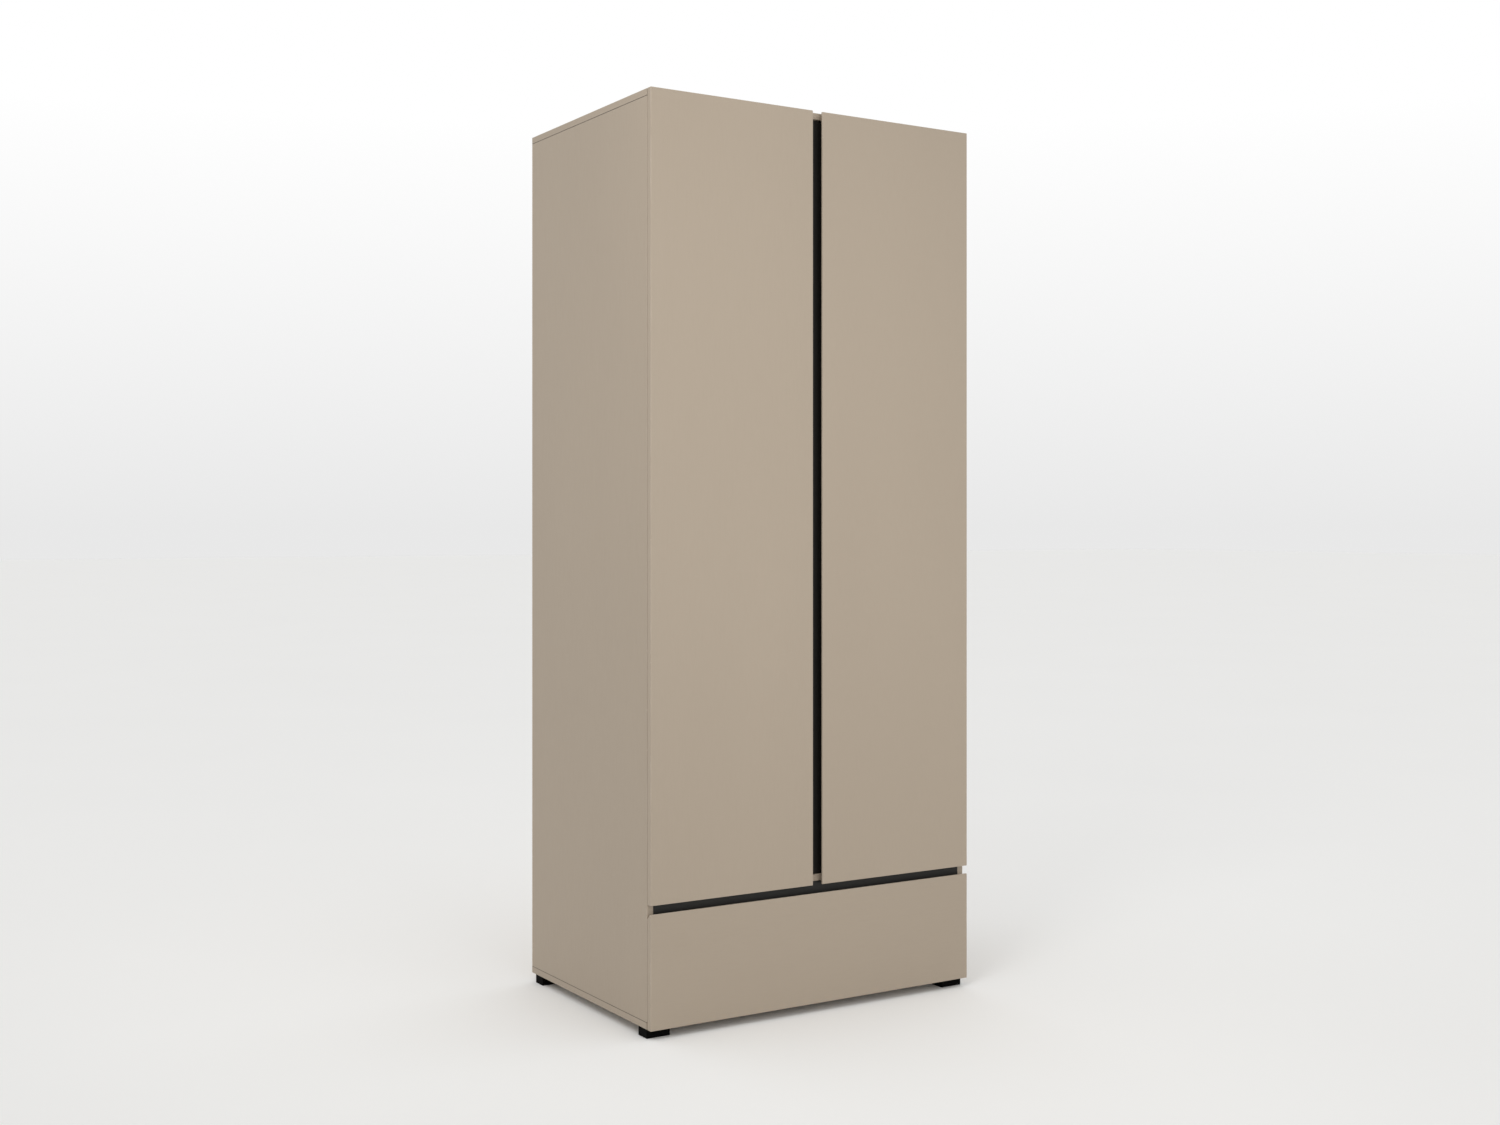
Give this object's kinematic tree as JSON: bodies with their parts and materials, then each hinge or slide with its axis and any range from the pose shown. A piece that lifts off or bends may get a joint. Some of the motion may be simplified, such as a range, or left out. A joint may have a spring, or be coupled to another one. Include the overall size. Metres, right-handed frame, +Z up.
{
  "type": "wardrobe",
  "caption": "Tall flat-fronted wardrobe with hinged doors over a full-width drawer, black recessed grip gaps instead of handles, low block feet, hanging bay and shelf bay inside.",
  "frame": {"origin": "on the floor, under the middle of the wardrobe's width and overall depth", "axes": "+Z up, -Y towards the person who opens the doors, +X to that person's right"},
  "size_m": [0.9, 0.6226, 2.132],
  "materials": {
    "taupe_laminate": "smooth matt laminate with fine grain in the sheen",
    "black_laminate": "matt black laminate",
    "hdf_board": "thin fibreboard, matt lacquer",
    "black_plastic": "moulded, fine grained",
    "nickel_steel": "nickel-plated pressed steel",
    "zinc_steel": "bright zinc-plated steel",
    "chromed_tube": "polished",
    "beech": "raw ribbed beech",
    "clear_bumper": "clear soft plastic"
  },
  "bodies": {
    "carcass": {"side_panel_left": "taupe_laminate", "side_panel_right": "taupe_laminate", "top_panel": "taupe_laminate", "bottom_panel": "taupe_laminate", "mid_panel": "taupe_laminate", "partition": "taupe_laminate", "centre_strip": "black_laminate", "grip_rail": "black_laminate", "hat_shelf": "taupe_laminate", "shelf_1": "taupe_laminate", "shelf_2": "taupe_laminate", "shelf_3": "taupe_laminate", "shelf_4": "taupe_laminate", "shelf_pins": "nickel_steel", "hanging_rail": "chromed_tube", "rail_sockets": "nickel_steel", "rail_socket_screws": "zinc_steel", "back_panel_left": "hdf_board", "back_panel_right": "hdf_board", "back_panel_lower": "hdf_board", "back_nails": "zinc_steel", "foot_front_left": "black_plastic", "foot_front_right": "black_plastic", "foot_rear_left": "black_plastic", "foot_rear_right": "black_plastic", "foot_screws": "zinc_steel", "cam_locks": "zinc_steel", "cam_bolts": "zinc_steel", "dowels": "beech", "hinge_plates": "nickel_steel", "hinge_plate_screws": "nickel_steel", "hinge_arms": "nickel_steel", "hinge_arm_screws": "nickel_steel", "runner_rail_left": "zinc_steel", "runner_rail_right": "zinc_steel", "runner_rail_screws": "zinc_steel", "wall_brackets": "zinc_steel", "wall_bracket_screws": "zinc_steel"},
    "left_door": {"door_left": "taupe_laminate", "hinge_cups_left": "nickel_steel", "hinge_cup_screws_left": "nickel_steel", "door_bumpers_left": "clear_bumper"},
    "right_door": {"door_right": "taupe_laminate", "hinge_cups_right": "nickel_steel", "hinge_cup_screws_right": "nickel_steel", "door_bumpers_right": "clear_bumper"},
    "runner_middles": {"runner_middle_left": "zinc_steel", "runner_middle_right": "zinc_steel"},
    "drawer": {"drawer_front": "taupe_laminate", "drawer_side_left": "taupe_laminate", "drawer_side_right": "taupe_laminate", "drawer_back": "taupe_laminate", "drawer_bottom": "hdf_board", "runner_slide_left": "zinc_steel", "runner_slide_right": "zinc_steel", "runner_slide_screws": "zinc_steel", "drawer_cams": "zinc_steel", "drawer_cam_bolts": "zinc_steel", "drawer_dowels": "beech", "drawer_bumpers": "clear_bumper"}
  },
  "joints": [
    {"name": "left_door_hinge", "type": "hinge", "parent": "carcass", "child": "left_door", "pos_m": [-0.445, -0.30625, 1.217], "axis": [0, 0, -1], "range_deg": [0, 105]},
    {"name": "right_door_hinge", "type": "hinge", "parent": "carcass", "child": "right_door", "pos_m": [0.445, -0.30625, 1.217], "axis": [0, 0, 1], "range_deg": [0, 105]},
    {"name": "drawer_slide", "type": "slide", "parent": "carcass", "child": "drawer", "axis": [0, -1, 0], "range_m": [0, 0.48]},
    {"name": "runner_middle_slide", "type": "slide", "parent": "carcass", "child": "runner_middles", "axis": [0, -1, 0], "range_m": [0, 0.24]}
  ],
  "couplings": [
    {"joint": "runner_middle_slide", "follows": "drawer_slide", "ratio": 0.5}
  ]
}
